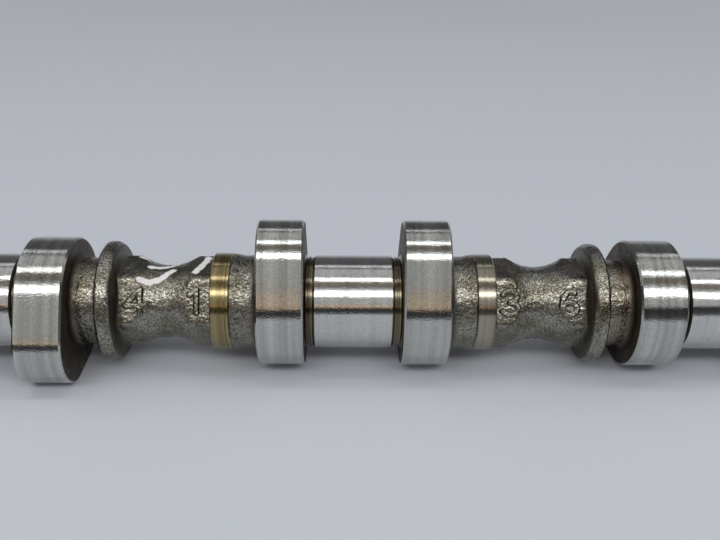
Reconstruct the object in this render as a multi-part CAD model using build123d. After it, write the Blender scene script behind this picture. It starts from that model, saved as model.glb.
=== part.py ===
from build123d import *
import os
from math import acos, atan2, cos, degrees, hypot, pi, radians, sin, sqrt, tan

# Camshaft for one bank of an engine with three cylinders in a row, cast in one
# piece. Each cylinder has one bearing journal with a cam lobe on either side.
# The spans between cylinders carry a narrow machined band, a hexagonal grip
# with a hollow waist, and a round cast collar.
#
# The shaft runs along X, the drive end at -X. The origin is on the axis, in the
# middle of the centre cylinder's journal. +Z is up with the shaft lying still:
# the centre cylinder's lobes point straight up and the other two pairs carry it.
# All lengths are in millimetres and all angles in degrees.

os.makedirs("parts", exist_ok=True)

# ---------------------------------------------------------------- layout
cylinder_pitch = 106.0       # from one cylinder's journal middle to the next
phase_step = 120.0           # turn from one cylinder's lobes to the next

# ---------------------------------------------------------------- journals
journal_dia = 27.0
journal_len = 22.6
journal_chamfer = 0.4
undercut_dia = 26.0          # relief turned between journal and lobe
undercut_len = 2.6

# ---------------------------------------------------------------- lobes
base_radius = 18.4           # base circle
lift = 6.6                   # nose tip above the base circle
nose_radius = 12.6
flank_radius = 41.0          # convex flanks, tangent to base circle and nose
lobe_width = 13.1
lobe_chamfer = 0.5

# ---------------------------------------------------------------- spans
barrel_dia = 26.0            # rough round barrel beside the lobe
rim_dia = 28.4               # raised cast rim at the barrel's end
rim_len = 0.4
rim_slope = 1.0              # length over which the barrel rises to the rim
rim_gap = 0.3                # turned step between rim and band
band_offset = 7.6            # lobe face to the machined band
band_dia = 28.0
band_len = 5.4
band_chamfer = 0.3

hex_across_flats = 23.0
hex_corner_dia = 26.1        # the cast corners are rounded off at this size
waist_dia = 20.7             # at the bottom of the hollow
waist_offset = 26.2          # lobe face to the bottom of the hollow
waist_arc_radius = 13.8
waist_lip_radius = 2.5       # soft edge where the hollow meets the corners

collar_offset = 39.3         # lobe face to the collar's near side
collar_dia = 34.6
collar_len = 4.4
collar_crown_radius = 1.9
collar_root_radius = 1.6

neck_dia = 25.0
neck_root_radius = 1.5       # cast fillet between a neck and the lobe beside it

# ---------------------------------------------------------------- drive end
front_neck_len = 6.0
thrust_dia = 34.0
thrust_len = 5.0
thrust_chamfer = 0.6
nose_dia = 29.0
nose_len = 24.0
nose_chamfer = 1.0
nose_groove_dia = 26.6       # oil groove round the nose
nose_groove_len = 3.0
nose_groove_offset = 8.0     # thrust collar to the groove
bolt_drill_dia = 10.2        # tapping size of an M12 bolt
bolt_depth = 32.0
bolt_countersink_dia = 13.0
dowel_dia = 5.0
dowel_depth = 9.0
dowel_offset = 10.2          # from the axis, on the +Z side
drill_point_angle = 118.0

# ---------------------------------------------------------------- plain end
rear_neck_len = 8.0
stub_dia = 20.0
stub_len = 7.0
stub_chamfer = 1.0
centre_hole_dia = 8.0        # 60 degree lathe centre
centre_pilot_dia = 3.2
centre_pilot_len = 5.0

# ---------------------------------------------------------------- derived
lobe_inner = journal_len / 2 + undercut_len      # from a journal's middle
lobe_outer = lobe_inner + lobe_width
span_len = cylinder_pitch - 2 * lobe_outer
bite = 0.5                   # how far a turned shape runs on inside its neighbour


def corner(before, at, after, radius):
    """Points where a fillet of this radius starts, passes and ends."""
    ux, uy = before[0] - at[0], before[1] - at[1]
    vx, vy = after[0] - at[0], after[1] - at[1]
    ul, vl = hypot(ux, uy), hypot(vx, vy)
    ux, uy, vx, vy = ux / ul, uy / ul, vx / vl, vy / vl
    half = acos(max(-1.0, min(1.0, ux * vx + uy * vy))) / 2
    if radius <= 0 or half > radians(89.5):
        return None
    # a fillet may take up to half of the shorter side beside it
    run = min(radius / tan(half), 0.49 * ul, 0.49 * vl)
    radius = run * tan(half)
    bx, by = ux + vx, uy + vy
    bl = hypot(bx, by)
    mid = radius / sin(half) - radius
    return ((at[0] + ux * run, at[1] + uy * run),
            (at[0] + bx / bl * mid, at[1] + by / bl * mid),
            (at[0] + vx * run, at[1] + vy * run))


def turned(outline):
    """Solid of revolution about X from (x, radius, fillet radius) points.

    The outline runs from the axis out, along, and back to the axis. A point
    written as ("arc", x, radius) is the middle of an arc between its two
    neighbours.
    """
    pts = [p if p[0] == "arc" else (p[0], p[1], p[2] if len(p) > 2 else 0) for p in outline]
    trimmed = []
    for i, p in enumerate(pts):
        if p[0] == "arc":
            trimmed.append(None)
            continue
        plain = 0 < i < len(pts) - 1 and pts[i - 1][0] != "arc" and pts[i + 1][0] != "arc"
        trimmed.append(corner(pts[i - 1], p, pts[i + 1], p[2]) if plain else None)
    edges = []
    at = None
    bend = None
    for p, cut in zip(pts, trimmed):
        if p[0] == "arc":
            bend = (p[1], p[2])
            continue
        start = cut[0] if cut else (p[0], p[1])
        if at is not None:
            if bend is not None:
                edges.append(ThreePointArc(at, bend, start))
                bend = None
            elif hypot(start[0] - at[0], start[1] - at[1]) > 1e-6:
                edges.append(Line(at, start))
        if cut:
            edges.append(ThreePointArc(cut[0], cut[1], cut[2]))
            at = cut[2]
        else:
            at = start
    first = (pts[0][0], pts[0][1])
    edges.append(Line(at, first))
    face = Plane.XZ * make_face(Curve() + edges)
    return revolve(face, axis=Axis.X, revolution_arc=360)


def cam_profile():
    """Lobe section: base circle, two convex flanks and the nose, all tangent."""
    nose_centre = base_radius + lift - nose_radius
    to_flank = flank_radius - base_radius
    # the flank centre lies to_flank from the axis and flank - nose from the nose centre
    turn = acos((to_flank ** 2 + nose_centre ** 2 - (flank_radius - nose_radius) ** 2)
                / (2 * to_flank * nose_centre))
    fx, fy = to_flank * sin(turn), to_flank * cos(turn)
    # tangent points on the side away from the flank centre
    bx, by = -base_radius * sin(turn), -base_radius * cos(turn)
    nx, ny = -fx, nose_centre - fy
    nl = hypot(nx, ny)
    tx, ty = nx / nl * nose_radius, nose_centre + ny / nl * nose_radius
    mid = (atan2(by - fy, bx - fx) % (2 * pi) + atan2(ty - fy, tx - fx) % (2 * pi)) / 2
    mx, my = fx + flank_radius * cos(mid), fy + flank_radius * sin(mid)
    tip = base_radius + lift
    outline = (ThreePointArc((bx, by), (0, -base_radius), (-bx, by))
               + ThreePointArc((-bx, by), (-mx, my), (-tx, ty))
               + ThreePointArc((-tx, ty), (0, tip), (tx, ty))
               + ThreePointArc((tx, ty), (mx, my), (bx, by)))
    return make_face(outline)


def lobe(x_start, phase):
    """One cam lobe, its nose turned from +Z towards -Y by the phase."""
    section = Plane.YZ * cam_profile()
    body = extrude(section, amount=lobe_width, dir=(1, 0, 0))
    rims = body.edges().filter_by(lambda e: abs(e.bounding_box().size.X) < 1e-6)
    body = chamfer(rims, lobe_chamfer)
    return Rot(X=phase) * Pos(X=x_start) * body


def cylinder_set(x_mid, phase):
    """One cylinder's journal with an undercut and a lobe on either side."""
    r, u, h = journal_dia / 2, undercut_dia / 2, journal_len / 2
    journal = turned([
        (-lobe_inner - bite, 0), (-lobe_inner - bite, u), (-h, u),
        (-h, r - journal_chamfer), (-h + journal_chamfer, r),
        (h - journal_chamfer, r), (h, r - journal_chamfer),
        (h, u), (lobe_inner + bite, u), (lobe_inner + bite, 0)])
    return (Pos(X=x_mid) * journal
            + lobe(x_mid - lobe_outer, phase)
            + lobe(x_mid + lobe_inner, phase))


def hex_grip(x_start, x_end, x_waist):
    """Hexagonal length whose flats run out into the hollow waist."""
    rc, rw = hex_corner_dia / 2, waist_dia / 2
    deep = rc - rw
    half = sqrt(waist_arc_radius ** 2 - (waist_arc_radius - deep) ** 2)
    # the hollow's lips are rounded over, so the arc ends a little short of them
    lip_turn = acos((waist_arc_radius - deep + waist_lip_radius)
                    / (waist_arc_radius + waist_lip_radius))
    reach = (waist_arc_radius + waist_lip_radius) * sin(lip_turn)
    join_x = waist_arc_radius * sin(lip_turn)
    join_r = rw + waist_arc_radius * (1 - cos(lip_turn))
    lip_mid = lip_turn / 2
    mid_x = reach - waist_lip_radius * sin(lip_mid)
    mid_r = rc - waist_lip_radius * (1 - cos(lip_mid))
    round_part = turned([
        (x_start - bite, 0), (x_start - bite, rc), (x_waist - reach, rc),
        ("arc", x_waist - mid_x, mid_r), (x_waist - join_x, join_r),
        ("arc", x_waist, rw), (x_waist + join_x, join_r),
        ("arc", x_waist + mid_x, mid_r), (x_waist + reach, rc),
        (x_end + bite, rc), (x_end + bite, 0)])
    hexagon = RegularPolygon(radius=hex_across_flats / 2, side_count=6,
                             major_radius=False)
    prism = extrude(Plane.YZ * hexagon, amount=x_end - x_start + 2 * bite, dir=(1, 0, 0))
    return round_part & (Pos(X=x_start - bite) * prism)


def span():
    """Everything between two cylinders, from the inner lobe's face at x = 0."""
    rb, rr, rs = barrel_dia / 2, rim_dia / 2, band_dia / 2
    rim_end = band_offset - rim_gap
    rim_start = rim_end - rim_len
    band_end = band_offset + band_len
    barrel = turned([
        (-bite, 0), (-bite, rb + neck_root_radius), (0, rb + neck_root_radius),
        (0, rb, neck_root_radius), (rim_start - rim_slope, rb),
        (rim_start, rr), (rim_end, rr),
        (rim_end, rs - band_chamfer), (band_offset, rs - band_chamfer),
        (band_offset + band_chamfer, rs), (band_end - band_chamfer, rs),
        (band_end, rs - band_chamfer), (band_end, 0)])
    grip = hex_grip(band_end, collar_offset, waist_offset)
    rn, rc = neck_dia / 2, collar_dia / 2
    foot = hex_across_flats / 2
    collar_end = collar_offset + collar_len
    tail = turned([
        (collar_offset - collar_root_radius, 0),
        (collar_offset - collar_root_radius, foot - 0.2),
        (collar_offset - 0.2, foot - 0.2, collar_root_radius),
        (collar_offset + 0.3, rc, collar_crown_radius),
        (collar_end - 0.4, rc, collar_crown_radius),
        (collar_end, rn, collar_root_radius),
        (span_len, rn, neck_root_radius),
        (span_len, rn + neck_root_radius), (span_len + bite, rn + neck_root_radius),
        (span_len + bite, 0)])
    return barrel + grip + tail


def front_end():
    """Neck, thrust collar and drive nose, from the last lobe's face at x = 0 to -X."""
    rn, rt, rp = neck_dia / 2, thrust_dia / 2, nose_dia / 2
    flange = -front_neck_len
    seat = flange - thrust_len
    tip = seat - nose_len
    g0 = seat - nose_groove_offset
    g1 = g0 - nose_groove_len
    rg = nose_groove_dia / 2
    body = turned([
        (bite, 0), (bite, rn + neck_root_radius), (0, rn + neck_root_radius),
        (0, rn, neck_root_radius), (flange, rn, collar_root_radius),
        (flange, rt - thrust_chamfer), (flange - thrust_chamfer, rt),
        (seat + thrust_chamfer, rt), (seat, rt - thrust_chamfer),
        (seat, rp), (g0, rp), (g0, rg), (g1, rg), (g1, rp),
        (tip + nose_chamfer, rp), (tip, rp - nose_chamfer), (tip, 0)])
    rd, rk = bolt_drill_dia / 2, bolt_countersink_dia / 2
    cone = tan(radians(drill_point_angle / 2))
    bolt_hole = turned([
        (tip - 1, 0), (tip - 1, rk), (tip, rk), (tip + rk - rd, rd),
        (tip + bolt_depth, rd), (tip + bolt_depth + rd / cone, 0)])
    rw = dowel_dia / 2
    dowel_hole = Pos(Z=dowel_offset) * turned([
        (tip - 1, 0), (tip - 1, rw), (tip + dowel_depth, rw),
        (tip + dowel_depth + rw / cone, 0)])
    return body - bolt_hole - dowel_hole


def rear_end():
    """Neck and plain stub with a lathe centre, from the last lobe's face at x = 0."""
    rn, rs = neck_dia / 2, stub_dia / 2
    tip = rear_neck_len + stub_len
    body = turned([
        (-bite, 0), (-bite, rn + neck_root_radius), (0, rn + neck_root_radius),
        (0, rn, neck_root_radius), (rear_neck_len, rn, 1.2),
        (rear_neck_len, rs, 0.8), (tip - stub_chamfer, rs),
        (tip, rs - stub_chamfer), (tip, 0)])
    rc, rp = centre_hole_dia / 2, centre_pilot_dia / 2
    cone_len = (rc - rp) / tan(radians(30))
    centre = turned([
        (tip + 1, 0), (tip + 1, rc), (tip, rc), (tip - cone_len, rp),
        (tip - cone_len - centre_pilot_len, rp),
        (tip - cone_len - centre_pilot_len - rp / tan(radians(drill_point_angle / 2)), 0)])
    return body - centre


# The layout mirrors about the centre cylinder: each span starts at the centre
# cylinder's lobe and ends with the collar beside the outer cylinder's lobe.
right_span = Pos(X=lobe_outer) * span()
left_span = mirror(right_span, about=Plane.YZ)

camshaft = (cylinder_set(0, 0)
            + cylinder_set(-cylinder_pitch, phase_step)
            + cylinder_set(cylinder_pitch, -phase_step)
            + right_span + left_span
            + Pos(X=-cylinder_pitch - lobe_outer) * front_end()
            + Pos(X=cylinder_pitch + lobe_outer) * rear_end())
camshaft = camshaft.clean() if hasattr(camshaft, "clean") else camshaft

solids = camshaft.solids()
shaft = solids[0] if len(solids) == 1 else Compound(children=list(solids))
shaft.label = "camshaft"
export_step(shaft, "parts/camshaft.step")
print("solids", len(solids), "volume", round(shaft.volume, 1))
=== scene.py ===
import bpy
import bmesh
from math import acos, atan2, cos, degrees, hypot, pi, radians, sin, sqrt
from mathutils import Matrix, Vector, noise


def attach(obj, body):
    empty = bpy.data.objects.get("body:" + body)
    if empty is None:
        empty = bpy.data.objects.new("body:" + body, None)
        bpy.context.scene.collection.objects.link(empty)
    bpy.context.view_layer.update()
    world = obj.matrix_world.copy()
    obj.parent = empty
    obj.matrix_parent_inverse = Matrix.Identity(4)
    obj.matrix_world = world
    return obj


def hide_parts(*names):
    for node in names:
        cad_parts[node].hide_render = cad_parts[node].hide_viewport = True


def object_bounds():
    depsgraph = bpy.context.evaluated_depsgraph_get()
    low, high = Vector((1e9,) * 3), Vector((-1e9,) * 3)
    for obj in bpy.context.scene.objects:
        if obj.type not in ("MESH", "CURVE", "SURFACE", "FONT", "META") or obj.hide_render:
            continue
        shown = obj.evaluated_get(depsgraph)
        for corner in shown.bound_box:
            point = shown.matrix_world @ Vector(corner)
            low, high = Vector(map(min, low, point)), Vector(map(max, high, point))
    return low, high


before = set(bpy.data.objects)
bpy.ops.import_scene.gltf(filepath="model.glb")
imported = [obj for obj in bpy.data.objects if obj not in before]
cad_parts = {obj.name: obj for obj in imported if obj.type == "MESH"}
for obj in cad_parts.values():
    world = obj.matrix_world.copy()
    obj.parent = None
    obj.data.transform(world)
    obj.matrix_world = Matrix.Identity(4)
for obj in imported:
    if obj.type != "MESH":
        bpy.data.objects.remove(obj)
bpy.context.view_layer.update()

# ---------------------------------------------------------------------------
# Camera. It stands in front of the shaft and looks down on it at 29 degrees,
# turned and rolled a little, as one held by hand is.
# ---------------------------------------------------------------------------
MM = 0.001
FRAME_PX = 720                     # width of the render
FOCAL_PX = 815.1                   # focal length, in pixels of that width
PIXEL = 0.29404 * MM               # size of one pixel at the shaft's axis
AIM_X_PX, AIM_UP_PX = 7.04, 31.4   # from the origin to the middle of the render
LOOKING_DOWN = radians(29.0)
YAW, ROLL = 0.0209, 0.0058
SENSOR_WIDTH = 36.0

ahead = Vector((0, cos(LOOKING_DOWN), -sin(LOOKING_DOWN)))
right = Vector((1, 0, 0))
upward = right.cross(ahead)
turn = Matrix.Rotation(-YAW, 3, upward)
ahead, right = turn @ ahead, turn @ right
tilt = Matrix.Rotation(-ROLL, 3, ahead)
right, upward = tilt @ right, tilt @ upward
camera_data = bpy.data.cameras.new("camera")
camera_data.sensor_width = SENSOR_WIDTH
camera_data.lens = FOCAL_PX / FRAME_PX * SENSOR_WIDTH
camera_data.clip_start = 0.01
camera = bpy.data.objects.new("camera", camera_data)
place = Matrix((right, upward, -ahead)).transposed().to_4x4()
place.translation = (Vector((AIM_X_PX * PIXEL, 0, 0)) + upward * AIM_UP_PX * PIXEL
                     - ahead * FOCAL_PX * PIXEL)
camera.matrix_world = place
bpy.context.scene.collection.objects.link(camera)
bpy.context.scene.camera = camera

# ---------------------------------------------------------------------------
# Cast spans between the cylinders: rough barrel, hexagonal grip with a hollow
# waist, round collar and neck. They keep the dark grainy skin of the sand mould,
# with raised numbers and dabs of paint. Places are in mm from the centre journal.
# ---------------------------------------------------------------------------
PITCH = 106.0                      # one cylinder's middle to the next
LOBE_IN, LOBE_OUT = 13.9, 27.0     # the faces of a lobe, from its cylinder's middle
BARREL_R = 13.35
RIM_R, RIM_LENGTH = 13.8, 2.6      # soft rim at the barrel's end
RIM_BACK, RIM_FALL = 0.75, 15.0    # its crest to the band, and degrees it turns down again
BAND_START, BAND_END, BAND_R = 34.6, 40.0, 14.0
FLAT_R, CORNER_R, LIP_ARC = 11.5, 13.05, 2.5
WAIST_X, WAIST_R, WAIST_ARC = 53.2, 10.35, 13.8
COLLAR_X, COLLAR_R, COLLAR_FLARE = 66.3, 17.3, 0.4
CROWN_ARC, CROWN_FLAT, CROWN_EDGE = 2.5, 1.0, 1.3
GRIP_ROOT, COLLAR_ROOT = 2.6, 1.5  # fillets on either side of the collar
NECK_R, NECK_ROOT = 12.5, 2.0
SPAN_END = PITCH - LOBE_OUT
BITE, GRIP_BITE = 0.5, 0.6         # how far a piece reaches into its neighbour
CORE_R = 9.0                       # inside this the castings have no skin
FAR_END, NEAR_END = 8.0, 5.0       # an outline's edges nearer the axis stay whole
# the narrow gap that the tool left beside a band: (way past its edge, depth under its face)
TOOL_GAP = ((-0.08, 0.15), (0.02, 0.6), (0.2, 0.8), (BITE, 0.8))


def vert_at(bm, x, r):
    return bm.verts.new((x * MM, 0, r * MM))


def line_to(bm, v, x, r):
    w = vert_at(bm, x, r)
    bm.edges.new((v, w))
    return w


def outline_of(points):
    """New outline of straight lines through the points, each (place along X, radius)."""
    bm = bmesh.new()
    v = vert_at(bm, *points[0])
    for x, r in points[1:]:
        v = line_to(bm, v, x, r)
    return bm


def last_vert(spun):
    return [g for g in spun["geom_last"] if isinstance(g, bmesh.types.BMVert)][0]


def verts_in(geom):
    return [g for g in geom if isinstance(g, bmesh.types.BMVert)]


def arc_on(bm, v, cx, cr, degrees_round, steps=6):
    """Carries the outline on round (cx, cr); positive turns clockwise seen from the front."""
    return last_vert(bmesh.ops.spin(
        bm, geom=[v], cent=(cx * MM, 0, cr * MM), axis=(0, 1, 0), dvec=(0, 0, 0),
        angle=radians(degrees_round), steps=steps, use_merge=False, use_duplicate=False))


def turn_round(bm, spacing, steps, mirrored=False):
    """Divides the outline to the spacing and spins it into a closed solid about X."""
    groups = {}
    for e in bm.edges:
        near, far = sorted(v.co.z for v in e.verts)
        cuts = int(e.calc_length() / (spacing * MM))
        if cuts and far > FAR_END * MM and near > NEAR_END * MM:
            groups.setdefault(cuts, []).append(e)
    for cuts, edges in groups.items():
        bmesh.ops.subdivide_edges(bm, edges=edges, cuts=cuts)
    if mirrored:
        bmesh.ops.scale(bm, vec=(-1, 1, 1), verts=bm.verts)
    # one sixth is spun, and its copies close the round
    bmesh.ops.spin(bm, geom=bm.verts[:] + bm.edges[:], cent=(0, 0, 0), axis=(1, 0, 0),
                   dvec=(0, 0, 0), angle=pi / 3, steps=steps // 6, use_merge=False,
                   use_duplicate=False)
    sixth = bm.verts[:] + bm.edges[:] + bm.faces[:]
    for k in range(1, 6):
        copy = bmesh.ops.duplicate(bm, geom=sixth)["geom"]
        bmesh.ops.rotate(bm, cent=(0, 0, 0), matrix=Matrix.Rotation(k * pi / 3, 3, "X"),
                         verts=verts_in(copy))
    bmesh.ops.remove_doubles(bm, verts=bm.verts, dist=1e-7)
    bmesh.ops.recalc_face_normals(bm, faces=bm.faces)


def seat_piece(bm, name, materials, sharp):
    """Makes the finished piece of the shaft, attaches it to the root body and hides the imported
    camshaft.
    """
    mesh = bpy.data.meshes.new(name)
    bm.to_mesh(mesh)
    bm.free()
    for m in materials:
        mesh.materials.append(m)
    mesh.shade_smooth()
    mesh.set_sharp_from_angle(angle=radians(sharp))
    piece = bpy.data.objects.new(name, mesh)
    bpy.context.scene.collection.objects.link(piece)
    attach(piece, "root")
    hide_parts("camshaft")
    return piece


def clamp(t):
    return max(0, min(1, t))


def angle_from(turn_at, target):
    return ((turn_at - target + pi) % (2 * pi)) - pi


# The cast skin's unevenness: waves per mm, shift of the pattern, height in mm.
SKIN_WAVES = ((0.22, (0, 0, 0), 0.12), (0.60, (9, 4, 1), 0.06), (1.15, (3, 7, 5), 0.07))


def sand_skin(p):
    """Height of the cast skin over the true form, in mm, at a point in mm."""
    return sum(noise.noise(p * waves + Vector(shift)) * height
               for waves, shift, height in SKIN_WAVES)


def softer_min(a, b, k):
    h = max(k - abs(a - b), 0) / k
    return min(a, b) - h * h * k / 4


def stroke_distance(u, v, strokes):
    best = 99.0
    for path in strokes:
        for (ax, ay), (bx, by) in zip(path, path[1:]):
            dx, dy = bx - ax, by - ay
            t = clamp(((u - ax) * dx + (v - ay) * dy) / (dx * dx + dy * dy))
            best = min(best, hypot(u - ax - t * dx, v - ay - t * dy))
    return best


# Mould numbers, as strokes on a field one unit high, and the middle of each
# along the shaft. They all stand on the flat that faces forward and up.
MOULD_NUMBERS = {
    "4": [[(0.62, -0.5), (0.62, 0.5), (0.0, -0.18), (0.85, -0.18)]],
    "1": [[(0.18, 0.28), (0.48, 0.5), (0.48, -0.5)]],
    "3": [[(0.05, 0.36), (0.25, 0.5), (0.55, 0.5), (0.7, 0.3), (0.6, 0.08), (0.35, 0.03)],
          [(0.35, 0.03), (0.65, -0.05), (0.75, -0.28), (0.6, -0.48), (0.25, -0.5), (0.03, -0.36)]],
    "6": [[(0.6, 0.45), (0.35, 0.5), (0.12, 0.25), (0.05, -0.15), (0.2, -0.45), (0.45, -0.5),
           (0.68, -0.38), (0.72, -0.15), (0.55, 0.02), (0.3, 0.03), (0.1, -0.1)]],
}
NUMBER_PLACES = (("4", -60.9), ("1", -44.3), ("3", 44.2), ("6", 60.9))
NUMBER_HEIGHT = 6.4
NUMBER_MIDDLE = 0.4                # middle of a number's field, in heights
NUMBER_REACH = 5.0                 # nothing of a number lies farther from its middle
NUMBER_RAISE, NUMBER_STROKE, NUMBER_SLOPE = 0.6, 0.66, 0.2
FINE_ROUND, FINE_ALONG = 4.4, 4.1  # half sizes of the finer mesh under a number
FACING = radians(60.0)             # turn of the flat from +Z towards -Y
FACING_REACH = 0.6                 # numbers lie within this turn of its middle, in radians


def number_distance(x, up_flat):
    """From a place on the facing flat to the nearest stroke of a number, in mm."""
    best = 99.0
    for figure, middle in NUMBER_PLACES:
        if abs(x - middle) < NUMBER_REACH:
            u = (x - middle) / NUMBER_HEIGHT + NUMBER_MIDDLE
            away = stroke_distance(u, up_flat / NUMBER_HEIGHT, MOULD_NUMBERS[figure])
            best = min(best, away * NUMBER_HEIGHT)
    return best


def by_number(v):
    x, y, z = (c / MM for c in v.co)
    way_round = abs(atan2(-y, z) - FACING) * FLAT_R
    along = min(abs(x - middle) for _, middle in NUMBER_PLACES)
    return way_round < FINE_ROUND and along < FINE_ALONG


# Dabs of white paint from a marker across the upper side of the waist: strokes
# of (place along the shaft, way round it from +Z towards -Y), and half its width.
PAINT_STROKES = (
    ([(-59.8, 6.0), (-57.2, 6.4), (-54.2, 4.4), (-51.6, 1.0)], 1.05),
    ([(-58.0, 0.2), (-54.6, -1.2), (-50.8, -3.6)], 0.95),
    ([(-61.6, -5.2), (-59.0, -4.6)], 0.75),
    ([(-44.6, 3.4), (-43.2, -0.4), (-42.0, -4.6)], 1.1),
)
PAINT_WAVES, PAINT_WANDER, PAINT_EDGE = 0.9, 0.35, 0.2   # how ragged and how soft its edge is
PAINT_REACH = 1.0                  # paint lies within this turn of +Z, in radians


def paint_at(p, turn_at):
    """How far a dab of paint covers the point, 0 to 1."""
    wander = noise.noise(p * PAINT_WAVES) * PAINT_WANDER
    cover = 0
    for path, half_width in PAINT_STROKES:
        away = stroke_distance(p.x, turn_at * FLAT_R, [path]) + wander
        cover = max(cover, clamp((half_width - away) / PAINT_EDGE))
    return cover


# The mould's halves met along two corners of the grip, and left a thin ragged
# ridge there: its turn about the shaft, and its height. It ends on the neck.
SEAMS = ((radians(150.0), 0.34), (radians(-30.0), 0.10))
SEAM_HALF_WIDTH, SEAM_END = 0.7, SPAN_END - 4
SEAM_LEVEL, SEAM_RAGGED, SEAM_WAVES = 0.65, 0.9, 0.7     # share of its height, change, waves per mm


def seam_height(x, turn_at, r):
    height = 0
    for seam, raised in SEAMS:
        off = abs(angle_from(turn_at, seam)) * r
        if off < SEAM_HALF_WIDTH:
            ragged = SEAM_LEVEL + SEAM_RAGGED * noise.noise(Vector((x * SEAM_WAVES, seam, 0)))
            height += raised * ragged * (1 - off / SEAM_HALF_WIDTH)
    return height


SOFT_EDGE = 0.5                    # how softly the flats meet the turned form
ROOT_UNDER = 0.2                   # depth at which the collar's root leaves the flats


def grip_form(x, turn_at, r):
    """Radius of the hexagonal length at a place, from the turned radius there."""
    away = ((turn_at + pi / 6) % (pi / 3)) - pi / 6
    six = softer_min(r, FLAT_R / cos(away), SOFT_EDGE)
    start = COLLAR_X - COLLAR_FLARE - GRIP_ROOT
    if x > start:
        # the root rises to the collar as a quarter of an ellipse
        d = min((x - start) / GRIP_ROOT, 1)
        root = CORNER_R - (CORNER_R - FLAT_R + ROOT_UNDER) * sqrt(1 - d * d)
        six = min(-softer_min(-six, -root, SOFT_EDGE), CORNER_R)
    return six


# Painted shade, dark as in a shadow, in the corners beside the lobes and the collar and round the raised
# numbers: its strength, the level it fades from, and the way it fades over in mm.
LOBE_SHADE, COLLAR_SHADE, NUMBER_SHADE = (1.0, 1.15, 2.2), (0.75, 1.3, 1.7), (0.55, 1.0, 0.35)
NUMBER_SHADE_OUT = 0.15            # from a stroke's edge to the middle of the painted shade round it
CROWN_UNSHADED = 0.9                  # depth of the collar's crown that the painted shade leaves out


def painted_shade_near(distance, strength, level, fade):
    return strength * clamp(level - distance / fade)


def painted_corner_shade(x, r, has_grip):
    """Painted shade in the corners beside the lobes and, on a grip, beside the collar."""
    corner = min(abs(x - face) for face in (LOBE_OUT, SPAN_END, PITCH + LOBE_OUT))
    shade_amount = painted_shade_near(corner, *LOBE_SHADE)
    if has_grip and r < COLLAR_R - CROWN_UNSHADED:
        shade_amount = max(shade_amount, painted_shade_near(abs(x - COLLAR_X), *COLLAR_SHADE))
    return shade_amount


def shape_cast(bm, has_grip):
    """Gives a turned casting its grip, skin, numbers and seams, and marks painted shade and paint."""
    if has_grip:
        # a finer mesh where the numbers stand
        marked = [e for e in bm.edges if by_number(e.verts[0]) and by_number(e.verts[1])]
        bmesh.ops.subdivide_edges(bm, edges=marked, cuts=1, use_grid_fill=True)
    paint = bm.verts.layers.float.new("paint")
    # the mark named scale holds painted shade for the corners and the foot of the numbers
    painted_shade_layer = bm.verts.layers.float.new("scale")
    # where the hexagonal length begins, ends and lies, each with a little to spare
    grip_start, grip_end, grip_r = BAND_END - 1, COLLAR_X - COLLAR_FLARE + 0.01, CORNER_R + 0.1
    for v in bm.verts:
        x, y, z = (c / MM for c in v.co)
        p, r, turn_at = Vector((x, y, z)), hypot(y, z), atan2(-y, z)
        if r < CORE_R:
            continue
        shade_amount = painted_corner_shade(abs(x), r, has_grip)
        form, height = r, sand_skin(p)
        if has_grip and grip_start < abs(x) < grip_end and r < grip_r:
            form = grip_form(abs(x), turn_at, r)
        if has_grip and abs(angle_from(turn_at, FACING)) < FACING_REACH:
            d = number_distance(x, -sin(turn_at - FACING) * form)
            height += NUMBER_RAISE * clamp((NUMBER_STROKE + NUMBER_SLOPE - d) / (2 * NUMBER_SLOPE))
            # painted shade round the foot of each raised stroke
            shade_amount = max(shade_amount, painted_shade_near(abs(d - NUMBER_STROKE - NUMBER_SHADE_OUT), *NUMBER_SHADE))
        if has_grip and abs(x) < SEAM_END:
            height += seam_height(x, turn_at, r)
        if has_grip and x < 0 and abs(turn_at) < PAINT_REACH:
            v[paint] = paint_at(p, turn_at)
        v[painted_shade_layer] = shade_amount
        grown = (form + height) / r
        v.co.y *= grown
        v.co.z *= grown


def feed(tree, socket, value):
    """Links another node's output to the socket, or sets the socket to a constant."""
    if isinstance(value, bpy.types.NodeSocket):
        tree.links.new(value, socket)
    elif isinstance(value, tuple):
        socket.default_value = (*value, 1)
    else:
        socket.default_value = value


def new_group(name, numbers, outputs):
    """Empty node group: a vector and the numbers go in, and values come out."""
    g = bpy.data.node_groups.new(name, "ShaderNodeTree")
    g.interface.new_socket("Vector", in_out="INPUT", socket_type="NodeSocketVector")
    for key, value in numbers:
        socket = g.interface.new_socket(key, in_out="INPUT", socket_type="NodeSocketFloat")
        socket.default_value = value
    for key in outputs:
        g.interface.new_socket(key, in_out="OUTPUT", socket_type="NodeSocketFloat")
    return g, g.nodes.new("NodeGroupInput").outputs, g.nodes.new("NodeGroupOutput").inputs


def noise_texture(tree, where, scale, detail, roughness=0.5, distortion=0.0):
    node = tree.nodes.new("ShaderNodeTexNoise")
    tree.links.new(where, node.inputs["Vector"])
    for key, value in (("Scale", scale), ("Detail", detail), ("Roughness", roughness),
                       ("Distortion", distortion)):
        feed(tree, node.inputs[key], value)
    return node.outputs["Fac"]


def grain_group():
    """Node group: grain of a sand cast skin, as a height, with slow stains over it."""
    g, given, out = new_group("sand_grain", [("Grain per metre", 1900)], ["Height", "Stain"])
    grain = noise_texture(g, given["Vector"], given["Grain per metre"], detail=2, roughness=0.55,
                          distortion=0.4)
    g.links.new(grain, out["Height"])
    g.links.new(noise_texture(g, given["Vector"], scale=160, detail=4), out["Stain"])
    return g


SAND_GRAIN = grain_group()


def ramp(tree, source, stops):
    node = tree.nodes.new("ShaderNodeValToRGB")
    while len(node.color_ramp.elements) < len(stops):
        node.color_ramp.elements.new(0.5)
    for e, (at, colour) in zip(node.color_ramp.elements, stops):
        e.position = at
        e.color = (*colour, 1)
    tree.links.new(source, node.inputs["Fac"])
    return node.outputs["Color"]


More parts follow.
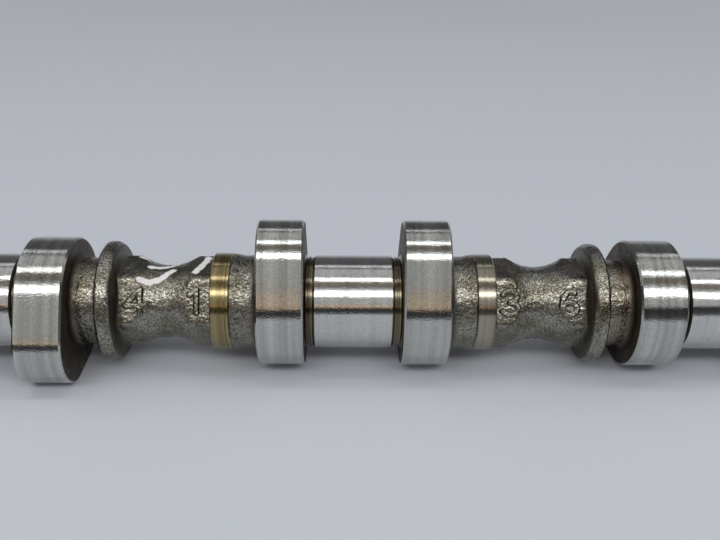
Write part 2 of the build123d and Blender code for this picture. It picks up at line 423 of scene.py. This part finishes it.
def remap(tree, source, low, high, to_low, to_high):
    node = tree.nodes.new("ShaderNodeMapRange")
    for key, value in (("From Min", low), ("From Max", high), ("To Min", to_low), ("To Max", to_high)):
        node.inputs[key].default_value = value
    tree.links.new(source, node.inputs["Value"])
    return node.outputs["Result"]


def combine(tree, operation, *sources):
    node = tree.nodes.new("ShaderNodeMath")
    node.operation = operation
    for source, socket in zip(sources, node.inputs):
        tree.links.new(source, socket)
    return node.outputs[0]


def mix_colour(tree, mask, a, b, blend="MIX"):
    node = tree.nodes.new("ShaderNodeMix")
    node.data_type = "RGBA"
    node.blend_type = blend
    for key, value in ((0, mask), (6, a), (7, b)):
        feed(tree, node.inputs[key], value)
    return node.outputs[2]


def bump(tree, height, depth, under=None):
    node = tree.nodes.new("ShaderNodeBump")
    node.inputs["Strength"].default_value = 1.0
    node.inputs["Distance"].default_value = depth * MM
    tree.links.new(height, node.inputs["Height"])
    if under:
        tree.links.new(under, node.inputs["Normal"])
    return node.outputs["Normal"]


def new_material(name):
    m = bpy.data.materials.new(name)
    m.use_nodes = True
    tree = m.node_tree
    shader = tree.nodes["Principled BSDF"]
    where = tree.nodes.new("ShaderNodeTexCoord").outputs["Object"]
    return m, tree, shader, where


def mark_on_mesh(tree, name):
    node = tree.nodes.new("ShaderNodeAttribute")
    node.attribute_name = name
    return node.outputs["Fac"]


STAIN, CLEAN = (0.55, 0.50, 0.43), (1.0, 1.0, 1.0)
RUST = (0.14, 0.062, 0.028)
# colour of the painted shade in the corners and round the numbers
PAINTED_SHADE_COLOUR = (0.060, 0.050, 0.038)
WHITE_PAINT = (0.80, 0.80, 0.79)
RUST_START, RUST_FULL = 71.5 * MM, 76.5 * MM   # the necks beside the end cylinders


def cast_skin(name, pits, ridges, metal, rough, grain_depth, rust_amount=0.0):
    """Cast skin: painted shade darkens the pits of the grain, and its ridges are lighter."""
    m, tree, shader, where = new_material(name)
    grain = tree.nodes.new("ShaderNodeGroup")
    grain.node_tree = SAND_GRAIN
    tree.links.new(where, grain.inputs["Vector"])
    height, stain = grain.outputs["Height"], grain.outputs["Stain"]
    middle = tuple(p * 0.55 + r * 0.45 for p, r in zip(pits, ridges))
    # darker in the pits of the grain as painted shade, lighter on its ridges
    body = ramp(tree, height, [(0.34, pits), (0.50, middle), (0.66, ridges)])
    stained = ramp(tree, stain, [(0.32, STAIN), (0.62, CLEAN)])
    colour = mix_colour(tree, 1.0, body, stained, "MULTIPLY")
    if rust_amount:
        split = tree.nodes.new("ShaderNodeSeparateXYZ")
        tree.links.new(where, split.inputs[0])
        along = combine(tree, "ABSOLUTE", split.outputs["X"])
        rusty = combine(tree, "MULTIPLY", remap(tree, along, RUST_START, RUST_FULL, 0, 1),
                        remap(tree, stain, 0.40, 0.62, 0.0, rust_amount))
        colour = mix_colour(tree, rusty, colour, RUST)
    # painted shade (the mark named scale) darkens the corners and the ground round the numbers, and
    # paint lies over all
    scale, paint = mark_on_mesh(tree, "scale"), mark_on_mesh(tree, "paint")
    colour = mix_colour(tree, scale, colour, PAINTED_SHADE_COLOUR)
    colour = mix_colour(tree, paint, colour, WHITE_PAINT)
    tree.links.new(colour, shader.inputs["Base Color"])
    tree.links.new(remap(tree, paint, 0, 1, metal, 0.0), shader.inputs["Metallic"])
    dull = combine(tree, "MAXIMUM", remap(tree, height, 0.35, 0.65, *rough),
                   remap(tree, scale, 0, 1, 0.0, 0.5))
    tree.links.new(dull, shader.inputs["Roughness"])
    tree.links.new(bump(tree, height, grain_depth), shader.inputs["Normal"])
    return m


BLASTED = dict(pits=(0.125, 0.122, 0.103), ridges=(0.42, 0.412, 0.356), metal=1.0,
               rough=(0.23, 0.14), grain_depth=0.125)
CAST_SKIN = cast_skin("cast_skin", rust_amount=0.3, **BLASTED)
RUSTY_SKIN = cast_skin("rusty_skin", rust_amount=0.75, **BLASTED)


def cast_barrel(name, mirrored):
    bm = bmesh.new()
    v = vert_at(bm, LOBE_OUT - BITE, 0)
    v = line_to(bm, v, LOBE_OUT - BITE, BARREL_R + NECK_ROOT)
    v = line_to(bm, v, LOBE_OUT, BARREL_R + NECK_ROOT)
    v = arc_on(bm, v, LOBE_OUT + NECK_ROOT, BARREL_R + NECK_ROOT, -90)
    # a soft rim before the turned seat: two arcs that meet half way up it
    crest = BAND_START - RIM_BACK
    rise = degrees(2 * atan2(RIM_R - BARREL_R, RIM_LENGTH))
    rim_arc = RIM_LENGTH / (2 * sin(radians(rise)))
    v = line_to(bm, v, crest - RIM_LENGTH, BARREL_R)
    v = arc_on(bm, v, crest - RIM_LENGTH, BARREL_R + rim_arc, -rise, steps=8)
    v = arc_on(bm, v, crest, RIM_R - rim_arc, rise + RIM_FALL, steps=10)
    for past, depth in TOOL_GAP:
        v = line_to(bm, v, BAND_START + past, BAND_R - depth)
    line_to(bm, v, BAND_START + BITE, 0)
    turn_round(bm, steps=360, spacing=0.22, mirrored=mirrored)
    shape_cast(bm, has_grip=False)
    return seat_piece(bm, name, [CAST_SKIN], sharp=60)


def cast_grip(name, mirrored, skin):
    deep = CORNER_R - WAIST_R
    lip_turn = acos((WAIST_ARC - deep + LIP_ARC) / (WAIST_ARC + LIP_ARC))
    reach = (WAIST_ARC + LIP_ARC) * sin(lip_turn)
    lip = degrees(lip_turn)
    crown_end = COLLAR_X + CROWN_ARC + CROWN_FLAT
    neck_start = crown_end + CROWN_EDGE
    bm = bmesh.new()
    v = vert_at(bm, BAND_END - GRIP_BITE, 0)
    v = line_to(bm, v, BAND_END - GRIP_BITE, CORNER_R)
    v = line_to(bm, v, WAIST_X - reach, CORNER_R)
    v = arc_on(bm, v, WAIST_X - reach, CORNER_R - LIP_ARC, lip)
    v = arc_on(bm, v, WAIST_X, WAIST_R + WAIST_ARC, -2 * lip, steps=60)
    v = arc_on(bm, v, WAIST_X + reach, CORNER_R - LIP_ARC, lip)
    v = line_to(bm, v, COLLAR_X - COLLAR_FLARE, CORNER_R)
    v = line_to(bm, v, COLLAR_X, COLLAR_R - CROWN_ARC)
    v = arc_on(bm, v, COLLAR_X + CROWN_ARC, COLLAR_R - CROWN_ARC, 90, steps=12)
    v = line_to(bm, v, crown_end, COLLAR_R)
    v = arc_on(bm, v, crown_end, COLLAR_R - CROWN_EDGE, 90, steps=12)
    v = line_to(bm, v, neck_start, NECK_R + COLLAR_ROOT)
    v = arc_on(bm, v, neck_start + COLLAR_ROOT, NECK_R + COLLAR_ROOT, -90)
    v = line_to(bm, v, SPAN_END - NECK_ROOT, NECK_R)
    v = arc_on(bm, v, SPAN_END - NECK_ROOT, NECK_R + NECK_ROOT, -90)
    v = line_to(bm, v, SPAN_END + BITE, NECK_R + NECK_ROOT)
    line_to(bm, v, SPAN_END + BITE, 0)
    turn_round(bm, steps=330, spacing=0.3, mirrored=mirrored)
    shape_cast(bm, has_grip=True)
    return seat_piece(bm, name, [skin], sharp=70)


for label, mirrored, skin in (("front", True, CAST_SKIN), ("rear", False, RUSTY_SKIN)):
    cast_barrel("cast_barrel_" + label, mirrored)
    cast_grip("cast_grip_" + label, mirrored, skin)

# ---------------------------------------------------------------------------
# Lobes. Six cams in pairs, each pair a third of a turn from the next. The
# running faces and their small chamfers are ground bright, while the cheeks
# keep the dark casting skin.
# ---------------------------------------------------------------------------
BASE_R, LIFT, NOSE_R, FLANK_R = 18.4, 6.6, 12.6, 150.0
LOBE_W, LOBE_CHAMFER = 13.1, 0.5
NOSE_STEPS, FLANK_STEPS, BASE_STEPS = 26, 26, 96
CHEEK_RINGS, RING_WIDTH = 9, 0.7               # divide a cheek inwards from its rim
CHEEK_WAVES, CHEEK_HEIGHT = 0.45, 0.16         # unevenness: waves per mm, and mm
CHEEK_FACING, CHEEK_CORNERS = 0.9, 50          # tell a cheek from the other faces
CYLINDERS = (("front", -PITCH, 120.0), ("centre", 0.0, 0.0), ("rear", PITCH, -120.0))
SMUDGE = (0.45, 0.45, 0.45)


def line_group():
    """Node group: fine grinding lines round the shaft and the blotches between them."""
    g, given, out = new_group("grinding_lines",
                              [("Lines per metre", 5000.0), ("Blotches per metre", 2400.0)],
                              ["Lines", "Blotches", "Bands"])
    stretch = g.nodes.new("ShaderNodeMapping")
    stretch.inputs["Scale"].default_value = (1.0, 0.02, 0.02)
    g.links.new(given["Vector"], stretch.inputs["Vector"])
    round_shaft = stretch.outputs["Vector"]
    g.links.new(noise_texture(g, round_shaft, given["Lines per metre"], detail=3, roughness=0.7),
                out["Lines"])
    g.links.new(noise_texture(g, round_shaft, scale=420, detail=2), out["Bands"])
    g.links.new(noise_texture(g, given["Vector"], given["Blotches per metre"], detail=2),
                out["Blotches"])
    return g


GRINDING_LINES = line_group()


def ground_steel(name, dark, bright, rough, lines, line_depth, blotch_depth, mottled):
    """Ground steel, with lines round the shaft and soft blotches in its shine."""
    m, tree, shader, where = new_material(name)
    marks = tree.nodes.new("ShaderNodeGroup")
    marks.node_tree = GRINDING_LINES
    marks.inputs["Lines per metre"].default_value = lines
    tree.links.new(where, marks.inputs["Vector"])
    blotches = marks.outputs["Blotches"]
    body = ramp(tree, marks.outputs["Bands"], [(0.35, dark), (0.65, bright)])
    mottle = ramp(tree, blotches, [(0.36, SMUDGE), (0.60, CLEAN)])
    tree.links.new(mix_colour(tree, mottled, body, mottle, "MULTIPLY"), shader.inputs["Base Color"])
    shader.inputs["Metallic"].default_value = 1.0
    tree.links.new(remap(tree, blotches, 0.35, 0.65, *rough), shader.inputs["Roughness"])
    lined = bump(tree, marks.outputs["Lines"], line_depth)
    tree.links.new(bump(tree, blotches, blotch_depth, under=lined), shader.inputs["Normal"])
    return m


LOBE_STEEL = ground_steel("lobe_steel", dark=(0.42, 0.43, 0.40), bright=(0.60, 0.61, 0.58),
                          rough=(0.05, 0.10), lines=6000, line_depth=0.010, blotch_depth=0.030,
                          mottled=0.35)
CHEEK_SKIN = cast_skin("cheek_skin", pits=(0.034, 0.028, 0.020), ridges=(0.125, 0.104, 0.078),
                       metal=0.6, rough=(0.55, 0.40), grain_depth=0.12)


def swing(bm, v, cy, cz, angle, steps):
    """Carries a lobe's outline on round (cy, cz), in the plane across the shaft."""
    return last_vert(bmesh.ops.spin(
        bm, geom=[v], cent=(0, cy * MM, cz * MM), axis=(1, 0, 0), dvec=(0, 0, 0),
        angle=angle, steps=steps, use_merge=False, use_duplicate=False))


def lobe(name, x_start, phase):
    # nose, flanks and base circle are arcs that meet on the lines of their centres
    nose_at = BASE_R + LIFT - NOSE_R
    to_flank = FLANK_R - BASE_R
    base_half = acos((to_flank ** 2 + nose_at ** 2 - (FLANK_R - NOSE_R) ** 2) / (2 * to_flank * nose_at))
    flank_y, flank_z = to_flank * sin(base_half), to_flank * cos(base_half)
    nose_half = atan2(flank_y, nose_at - flank_z)
    flank_half = pi - nose_half - base_half
    bm = bmesh.new()
    v = vert_at(bm, 0, BASE_R + LIFT)
    v = swing(bm, v, 0, nose_at, nose_half, NOSE_STEPS)
    v = swing(bm, v, flank_y, flank_z, flank_half, FLANK_STEPS)
    v = swing(bm, v, 0, 0, 2 * base_half, BASE_STEPS)
    v = swing(bm, v, -flank_y, flank_z, flank_half, FLANK_STEPS)
    v = swing(bm, v, 0, nose_at, nose_half, NOSE_STEPS)
    bmesh.ops.remove_doubles(bm, verts=bm.verts, dist=2e-6)
    section = bmesh.ops.contextual_create(bm, geom=bm.edges[:])["faces"]
    pushed = bmesh.ops.extrude_face_region(bm, geom=section)["geom"]
    bmesh.ops.translate(bm, vec=(LOBE_W * MM, 0, 0), verts=verts_in(pushed))
    bmesh.ops.recalc_face_normals(bm, faces=bm.faces)
    rims = [e for e in bm.edges if abs(e.verts[0].co.x - e.verts[1].co.x) < 1e-7]
    bmesh.ops.bevel(bm, geom=rims, offset=LOBE_CHAMFER * MM, offset_type="OFFSET", segments=1,
                    profile=0.5, affect="EDGES", material=-1)
    # rings in from the rim let the cast cheeks stand a little uneven
    for cheek in [f for f in bm.faces if len(f.verts) > CHEEK_CORNERS]:
        for _ in range(CHEEK_RINGS):
            bmesh.ops.inset_region(bm, faces=[cheek], thickness=RING_WIDTH * MM, use_even_offset=True)
    for v in bm.verts:
        x, y, z = (c / MM for c in v.co)
        at_end = min(abs(x), abs(x - LOBE_W)) < 1e-3
        if at_end and all(abs(f.normal.x) > CHEEK_FACING for f in v.link_faces):
            v.co.x += noise.noise(Vector((x_start + x, y, z)) * CHEEK_WAVES) * CHEEK_HEIGHT * MM
    for f in bm.faces:
        f.material_index = 1 if abs(f.normal.x) > CHEEK_FACING else 0
    bmesh.ops.rotate(bm, cent=(0, 0, 0), matrix=Matrix.Rotation(radians(phase), 3, "X"), verts=bm.verts)
    bmesh.ops.translate(bm, vec=(x_start * MM, 0, 0), verts=bm.verts)
    bmesh.ops.recalc_face_normals(bm, faces=bm.faces)
    return seat_piece(bm, name, [LOBE_STEEL, CHEEK_SKIN], sharp=25)


for label, middle, phase in CYLINDERS:
    lobe("lobe_%s_a" % label, middle - LOBE_OUT, phase)
    lobe("lobe_%s_b" % label, middle + LOBE_IN, phase)

# ---------------------------------------------------------------------------
# Journals. Three bearing surfaces ground and polished almost to a mirror, with
# a turned undercut at each end that keeps the cutter's straw tint.
# ---------------------------------------------------------------------------
JOURNAL_R, JOURNAL_HALF, JOURNAL_CHAMFER = 13.5, 11.3, 0.4
UNDERCUT_EDGE_R = 13.1             # where the chamfer runs out into the undercut
SHOULDER = 0.3                     # rise of the undercut's outer wall over the journal
# the undercut's two grooves and the land between them: (place from the middle, radius)
UNDERCUT = ((13.35, 12.9), (12.85, 12.9), (12.75, 13.15), (12.2, 13.15), (12.1, 12.85), (11.6, 12.85))
JOURNAL_STEEL = ground_steel("journal_steel", dark=(0.56, 0.56, 0.54), bright=(0.64, 0.64, 0.62),
                             rough=(0.05, 0.10), lines=9000, line_depth=0.003, blotch_depth=0.028,
                             mottled=0.3)
UNDERCUT_STEEL = ground_steel("undercut_steel", dark=(0.09, 0.077, 0.055), bright=(0.26, 0.215, 0.145),
                              rough=(0.16, 0.22), lines=4500, line_depth=0.012, blotch_depth=0.002,
                              mottled=0.1)


def journal(name, middle):
    half = [(LOBE_IN + BITE, 0), (LOBE_IN + BITE, JOURNAL_R + SHOULDER),
            (LOBE_IN, JOURNAL_R + SHOULDER), *UNDERCUT,
            (JOURNAL_HALF, UNDERCUT_EDGE_R), (JOURNAL_HALF - JOURNAL_CHAMFER, JOURNAL_R)]
    bm = outline_of([(-x, r) for x, r in half] + half[::-1])
    turn_round(bm, spacing=4.0, steps=256)
    for f in bm.faces:
        beyond = abs(f.calc_center_median().x) > (JOURNAL_HALF - 0.01) * MM
        f.material_index = 1 if beyond else 0
    bmesh.ops.translate(bm, vec=(middle * MM, 0, 0), verts=bm.verts)
    return seat_piece(bm, name, [JOURNAL_STEEL, UNDERCUT_STEEL], sharp=20)


for label, middle, _ in CYLINDERS:
    journal("journal_" + label, middle)

# ---------------------------------------------------------------------------
# Bands. A narrow seat turned on each span: the front one straw coloured from
# the cut, with a hairline groove near its edge, and the rear one paler.
# ---------------------------------------------------------------------------
BAND_CHAMFER = 0.3
HAIRLINE = ((0.85, 0.0), (0.95, 0.2), (1.15, 0.2), (1.25, 0.0))    # way past the edge, depth
BAND_CUT = dict(rough=(0.14, 0.22), lines=5200, line_depth=0.008, blotch_depth=0.004, mottled=0.2)
BAND_STRAW = ground_steel("band_straw", dark=(0.25, 0.20, 0.10), bright=(0.44, 0.36, 0.20), **BAND_CUT)
BAND_PALE = ground_steel("band_pale", dark=(0.26, 0.24, 0.19), bright=(0.42, 0.39, 0.31), **BAND_CUT)


def band(name, mirrored, material, groove=()):
    bm = outline_of([(BAND_START, 0), (BAND_START, BAND_R - BAND_CHAMFER),
                     (BAND_START + BAND_CHAMFER, BAND_R),
                     *((BAND_START + past, BAND_R - depth) for past, depth in groove),
                     (BAND_END - BAND_CHAMFER, BAND_R), (BAND_END, BAND_R - BAND_CHAMFER),
                     (BAND_END, 0)])
    turn_round(bm, spacing=4.0, steps=256, mirrored=mirrored)
    return seat_piece(bm, name, [material], sharp=20)


band("band_front", True, BAND_STRAW, groove=HAIRLINE)
band("band_rear", False, BAND_PALE)

# ---------------------------------------------------------------------------
# Drive end. A short cast neck, a turned thrust collar and the ground nose with
# its oil groove, bolt hole and dowel hole.
# ---------------------------------------------------------------------------
FRONT_FACE = -PITCH - LOBE_OUT
THRUST_START, THRUST_R, THRUST_LEN, THRUST_CHAMFER = FRONT_FACE - 6.0, 17.0, 5.0, 0.6
NOSE_START, NOSE_END_R, NOSE_LEN, NOSE_CHAMFER = THRUST_START - THRUST_LEN, 14.5, 24.0, 1.0
NOSE_TIP = NOSE_START - NOSE_LEN
OIL_START, OIL_END, OIL_R = NOSE_START - 11.0, NOSE_START - 8.0, 13.3
BOLT_R, BOLT_DEPTH, BOLT_MOUTH, BOLT_MOUTH_R = 5.1, 32.0, 1.4, 6.5
DOWEL_R, DOWEL_DEPTH, DOWEL_OFFSET = 2.5, 9.0, 10.2
DRILL_POINT = 0.6                  # length of a drill's point over its radius
PLUG_START_R, PLUG_END_R, PLUG_LEN = 12.0, 11.5, 7.0   # reaches into the neck, out of sight


def drive_neck():
    bm = bmesh.new()
    v = vert_at(bm, THRUST_START - BITE, 0)
    v = line_to(bm, v, THRUST_START - BITE, NECK_R + COLLAR_ROOT)
    v = line_to(bm, v, THRUST_START, NECK_R + COLLAR_ROOT)
    v = arc_on(bm, v, THRUST_START + COLLAR_ROOT, NECK_R + COLLAR_ROOT, -90)
    v = line_to(bm, v, FRONT_FACE - NECK_ROOT, NECK_R)
    v = arc_on(bm, v, FRONT_FACE - NECK_ROOT, NECK_R + NECK_ROOT, -90)
    v = line_to(bm, v, FRONT_FACE + BITE, NECK_R + NECK_ROOT)
    line_to(bm, v, FRONT_FACE + BITE, 0)
    turn_round(bm, spacing=0.3, steps=280)
    shape_cast(bm, has_grip=False)
    return seat_piece(bm, "cast_neck_front", [CAST_SKIN], sharp=60)


def drilled(solid, hole):
    """The solid with the hole cut out of it."""
    blanks = []
    for shape in (solid, hole):
        mesh = bpy.data.meshes.new("blank")
        shape.to_mesh(mesh)
        shape.free()
        blanks.append(bpy.data.objects.new("blank", mesh))
        bpy.context.scene.collection.objects.link(blanks[-1])
    cut = blanks[0].modifiers.new("cut", "BOOLEAN")
    cut.operation = "DIFFERENCE"
    cut.solver = "EXACT"
    cut.object = blanks[1]
    done = bmesh.new()
    done.from_object(blanks[0], bpy.context.evaluated_depsgraph_get())
    for blank in blanks:
        mesh = blank.data
        bpy.data.objects.remove(blank)
        bpy.data.meshes.remove(mesh)
    return done


def dowel_hole():
    bm = outline_of([(NOSE_TIP - 1.0, 0), (NOSE_TIP - 1.0, DOWEL_R), (NOSE_TIP + DOWEL_DEPTH, DOWEL_R),
                     (NOSE_TIP + DOWEL_DEPTH + DOWEL_R * DRILL_POINT, 0)])
    turn_round(bm, spacing=4.0, steps=48)
    bmesh.ops.translate(bm, vec=(0, 0, DOWEL_OFFSET * MM), verts=bm.verts)
    return bm


def drive_nose():
    bolt_hole = [(NOSE_TIP + BOLT_DEPTH + BOLT_R * DRILL_POINT, 0), (NOSE_TIP + BOLT_DEPTH, BOLT_R),
                 (NOSE_TIP + BOLT_MOUTH, BOLT_R), (NOSE_TIP, BOLT_MOUTH_R)]
    nose = [(NOSE_TIP, NOSE_END_R - NOSE_CHAMFER), (NOSE_TIP + NOSE_CHAMFER, NOSE_END_R),
            (OIL_START, NOSE_END_R), (OIL_START, OIL_R), (OIL_END, OIL_R), (OIL_END, NOSE_END_R),
            (NOSE_START, NOSE_END_R)]
    collar = [(NOSE_START, THRUST_R - THRUST_CHAMFER), (NOSE_START + THRUST_CHAMFER, THRUST_R),
              (THRUST_START - THRUST_CHAMFER, THRUST_R), (THRUST_START, THRUST_R - THRUST_CHAMFER)]
    plug = [(THRUST_START, PLUG_START_R), (THRUST_START + PLUG_LEN, PLUG_END_R),
            (THRUST_START + PLUG_LEN, 0)]
    bm = outline_of(bolt_hole + nose + collar + plug)
    turn_round(bm, spacing=4.0, steps=256)
    return seat_piece(drilled(bm, dowel_hole()), "drive_nose", [LOBE_STEEL], sharp=20)


drive_neck()
drive_nose()

# ---------------------------------------------------------------------------
# Plain end. A cast neck that steps down to a short turned stub with a lathe
# centre in its face.
# ---------------------------------------------------------------------------
REAR_FACE = PITCH + LOBE_OUT
STUB_START, STUB_R, STUB_LEN, STUB_CHAMFER = REAR_FACE + 8.0, 10.0, 7.0, 1.0
STUB_TIP = STUB_START + STUB_LEN
STUB_BITE = 2.0                    # how far the stub reaches into the neck
STEP_ROUND, STEP_R = 1.2, 9.6      # the neck's rounded edge, and a point that the stub covers
CENTRE_R, CENTRE_MOUTH_R = 1.6, 4.0
CENTRE_TAPER, CENTRE_DEPTH, CENTRE_POINT = 4.157, 9.157, 10.1     # in from the stub's face


def plain_neck():
    bm = bmesh.new()
    v = vert_at(bm, REAR_FACE - BITE, 0)
    v = line_to(bm, v, REAR_FACE - BITE, NECK_R + NECK_ROOT)
    v = line_to(bm, v, REAR_FACE, NECK_R + NECK_ROOT)
    v = arc_on(bm, v, REAR_FACE + NECK_ROOT, NECK_R + NECK_ROOT, -90)
    v = line_to(bm, v, STUB_START - STEP_ROUND, NECK_R)
    v = arc_on(bm, v, STUB_START - STEP_ROUND, NECK_R - STEP_ROUND, 90)
    v = line_to(bm, v, STUB_START, STEP_R)
    line_to(bm, v, STUB_START, 0)
    turn_round(bm, spacing=0.3, steps=280)
    shape_cast(bm, has_grip=False)
    return seat_piece(bm, "cast_neck_rear", [CAST_SKIN], sharp=60)


def plain_stub():
    bm = outline_of([(STUB_START - STUB_BITE, 0), (STUB_START - STUB_BITE, STUB_R),
                     (STUB_TIP - STUB_CHAMFER, STUB_R), (STUB_TIP, STUB_R - STUB_CHAMFER),
                     (STUB_TIP, CENTRE_MOUTH_R), (STUB_TIP - CENTRE_TAPER, CENTRE_R),
                     (STUB_TIP - CENTRE_DEPTH, CENTRE_R), (STUB_TIP - CENTRE_POINT, 0)])
    turn_round(bm, spacing=4.0, steps=200)
    return seat_piece(bm, "plain_stub", [LOBE_STEEL], sharp=20)


plain_neck()
plain_stub()

# ---------------------------------------------------------------------------
# Bench and light. A plain pale bench top under the lobes, long soft strips
# that lie along the shaft, from low in front of it to high behind it, and a
# quiet room. Sizes here are in metres.
# ---------------------------------------------------------------------------
BENCH_HALF = 12.0
BENCH_PAINT = (0.60, 0.63, 0.69)
GLOW_START, GLOW_FULL, GLOW = 0.5, 2.8, 0.48   # from the shaft, and its strength there
STRIP_REACH = 1.5                              # from the shaft's axis to a strip

floor_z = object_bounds()[0][2]
bm = bmesh.new()
bmesh.ops.create_grid(bm, x_segments=1, y_segments=1, size=BENCH_HALF)
bmesh.ops.translate(bm, vec=(0, 0, floor_z), verts=bm.verts)
mesh = bpy.data.meshes.new("bench")
bm.to_mesh(mesh)
bm.free()
m, tree, shader, where = new_material("bench_top")
feed(tree, shader.inputs["Base Color"], BENCH_PAINT)
feed(tree, shader.inputs["Emission Color"], BENCH_PAINT)
feed(tree, shader.inputs["Roughness"], 0.7)
# beyond the reach of the lamps the bench stays as pale as it is beside the shaft
away = tree.nodes.new("ShaderNodeVectorMath")
away.operation = "LENGTH"
tree.links.new(where, away.inputs[0])
seen = tree.nodes.new("ShaderNodeLightPath").outputs
eye_or_mirror = combine(tree, "ADD", seen["Is Camera Ray"], seen["Is Glossy Ray"])
glow = combine(tree, "MULTIPLY", remap(tree, away.outputs["Value"], GLOW_START, GLOW_FULL, 0.0, GLOW),
               eye_or_mirror)
tree.links.new(glow, shader.inputs["Emission Strength"])
mesh.materials.append(m)
bench = bpy.data.objects.new("bench", mesh)
bpy.context.scene.collection.objects.link(bench)


def strip(name, elevation, spread, brightness, colour=(1, 1, 1), length=5.0, shift=0.0):
    """Soft strip along X, by its elevation from the front and its spread, in degrees."""
    data = bpy.data.lights.new(name, "AREA")
    data.shape = "RECTANGLE"
    data.size = length
    data.size_y = 2 * STRIP_REACH * sin(radians(spread / 2))
    data.energy = brightness * pi * data.size * data.size_y
    data.color = colour
    lamp = bpy.data.objects.new(name, data)
    e = radians(elevation)
    along, outward = Vector((1, 0, 0)), Vector((0, -cos(e), sin(e)))
    place = Matrix((along, outward.cross(along), outward)).transposed().to_4x4()
    place.translation = Vector((shift, 0, 0)) + outward * STRIP_REACH
    lamp.matrix_world = place
    bpy.context.scene.collection.objects.link(lamp)


strip("strip_key", 49.5, 10, 4.2, length=3.0)
strip("strip_glow", 50, 18, 0.40, length=3.2)
strip("strip_fill", 44, 44, 0.50, length=3.2)
strip("strip_dusk", 73, 13, 0.20, colour=(1.0, 0.84, 0.64))
strip("strip_top", 86, 8, 3.3)
strip("strip_rear", 106, 25, 0.48)
strip("strip_back", 125.5, 1.5, 2.2)
strip("strip_far", 129, 1.5, 1.9)
strip("strip_warm", 19.5, 6, 0.82, colour=(1.0, 0.76, 0.56), length=1.9, shift=-0.6)

# The room is pale at the horizon behind the shaft, darker overhead and in front:
# its colours from the horizon up, and the share of them that is left in front.
ROOM_COLOURS = [(0.0, (0.44, 0.45, 0.47)), (0.10, (0.28, 0.28, 0.29)),
                (0.28, (0.13, 0.13, 0.14)), (1.0, (0.10, 0.10, 0.11))]
ROOM_IN_FRONT = 0.24
world = bpy.data.worlds.new("room")
bpy.context.scene.world = world
world.use_nodes = True
tree = world.node_tree
direction = tree.nodes.new("ShaderNodeTexCoord")
split = tree.nodes.new("ShaderNodeSeparateXYZ")
tree.links.new(direction.outputs["Generated"], split.inputs[0])
sky = ramp(tree, split.outputs["Z"], ROOM_COLOURS)
depth = remap(tree, split.outputs["Y"], -1.0, 0.3, ROOM_IN_FRONT, 1.0)
background = tree.nodes["Background"]
tree.links.new(mix_colour(tree, 1.0, sky, depth, "MULTIPLY"), background.inputs["Color"])
background.inputs["Strength"].default_value = 1.0

bpy.context.scene.view_settings.view_transform = "Standard"
